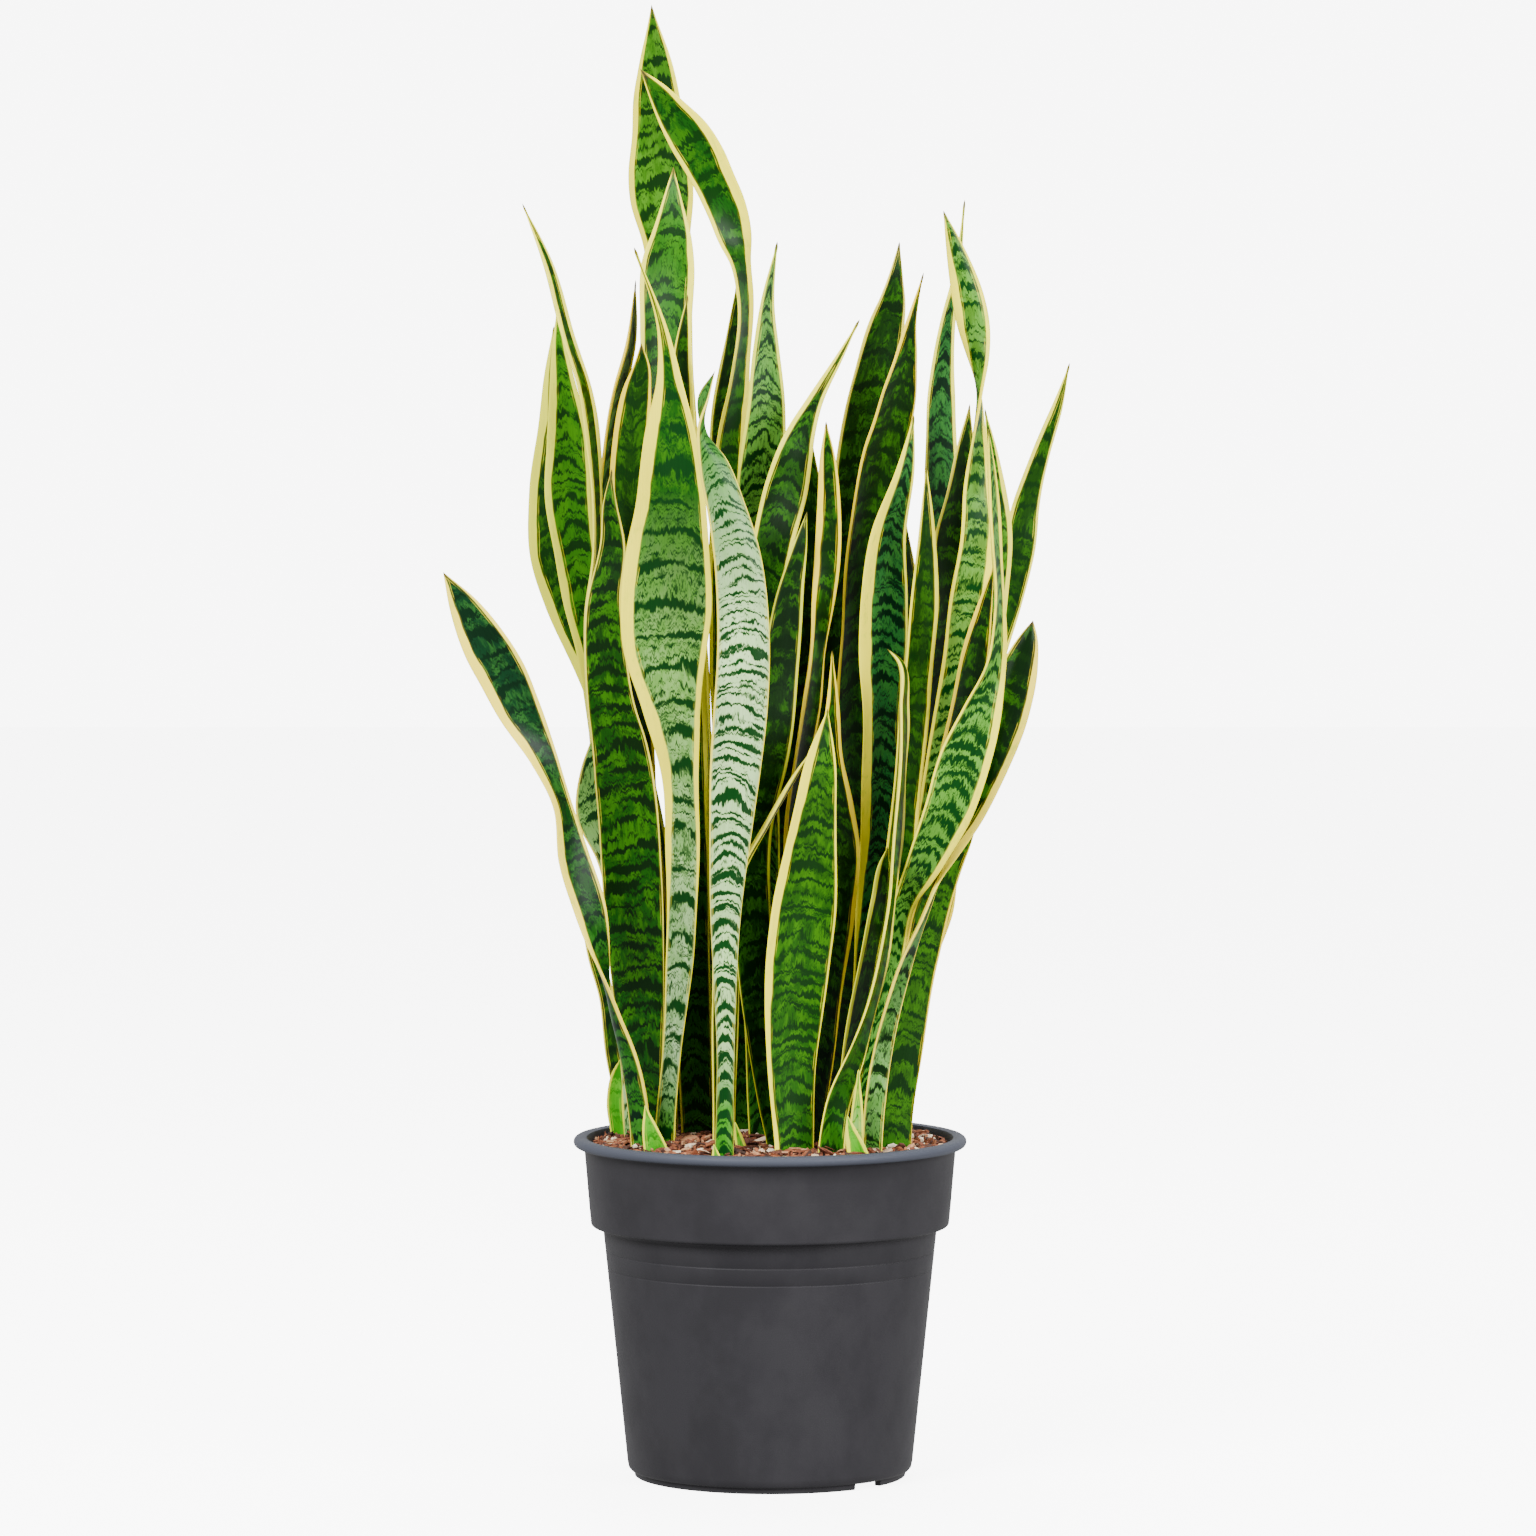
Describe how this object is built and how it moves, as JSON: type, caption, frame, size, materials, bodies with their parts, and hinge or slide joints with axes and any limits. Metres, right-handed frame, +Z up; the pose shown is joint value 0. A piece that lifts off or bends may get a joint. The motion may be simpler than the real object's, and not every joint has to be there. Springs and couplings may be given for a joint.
{
  "type": "potted snake plant",
  "caption": "Tall clump of upright sword-shaped leaves with pale margins, some twisting or leaning out, rooted in bark mix in a round tapered nursery pot with a rolled lip and deep collar.",
  "frame": {"origin": "on the pot's axis, on the surface that it stands on, at the pad under the middle of its floor", "axes": "+Z up along the pot's axis, +X to the right and -Y towards the front of the plant"},
  "size_m": [0.427, 0.27, 1.011],
  "materials": {
    "pot_plastic": "satin dark grey moulded plastic, lightly scuffed, with faint moulding rings",
    "bark": "matt red-brown bark chips with pale wood flecks",
    "leaf_dark": "waxy deep green blade with brighter green blotches and dark cross bands, narrow yellow margins",
    "leaf_green": "waxy mid green blade with dark wavy cross bands, cream to yellow margins",
    "leaf_bright": "waxy fresh green blade with darker blotches, yellow margins",
    "leaf_pale": "waxy silvery grey-green blade with jagged dark green cross bands, cream margins",
    "leaf_blue": "waxy bluish green blade with fine herringbone bands, cream margins"
  },
  "bodies": {
    "root": {"nursery_pot": "pot_plastic", "bark_mix": "bark", "leaf_front_banded": "leaf_pale", "leaf_front_herringbone": "leaf_green", "leaf_front_speckled": "leaf_pale", "leaf_right_edge_on": "leaf_green", "leaf_right_cream_edged": "leaf_pale", "leaf_right_twisted_low": "leaf_dark", "leaf_right_olive": "leaf_green", "leaf_right_olive_behind": "leaf_green", "leaf_thin_crossing": "leaf_green", "leaf_short_hooked": "leaf_dark", "leaf_behind_herringbone": "leaf_dark", "sheath_left": "leaf_bright", "sheath_front_small": "leaf_bright", "sheath_right": "leaf_bright", "shoot_front_pale": "leaf_pale", "shoot_right_pale": "leaf_pale", "shoot_left_stub": "leaf_bright", "leaf_left_reaching": "leaf_dark", "leaf_left_broad_dark": "leaf_dark", "leaf_left_pale_behind": "leaf_pale", "leaf_left_low_dark": "leaf_dark", "leaf_left_edge_on": "leaf_green", "leaf_left_striped": "leaf_green", "leaf_left_striped_behind": "leaf_green", "leaf_left_rolled": "leaf_dark", "leaf_left_diagonal_bands": "leaf_green", "leaf_centre_sway": "leaf_dark", "leaf_centre_narrow_dark": "leaf_dark", "leaf_centre_leaning": "leaf_green", "leaf_centre_yellow_edged": "leaf_dark", "leaf_centre_bluish": "leaf_blue", "leaf_centre_chevron": "leaf_green", "leaf_back_arching": "leaf_green", "leaf_back_narrow_dark": "leaf_dark", "leaf_back_tallest": "leaf_bright", "leaf_back_centre_dark": "leaf_dark", "leaf_back_right_dark": "leaf_dark", "leaf_right_yellow_edged": "leaf_green", "leaf_right_dark_low": "leaf_dark", "leaf_right_bluish": "leaf_blue", "leaf_right_pale_edged": "leaf_green", "leaf_right_mottled_twist": "leaf_pale", "leaf_right_pale_green": "leaf_bright", "leaf_right_dark_upright": "leaf_dark", "leaf_right_broad_dark": "leaf_dark", "leaf_right_bluish_tall": "leaf_blue", "leaf_right_far": "leaf_green"}
  },
  "joints": []
}
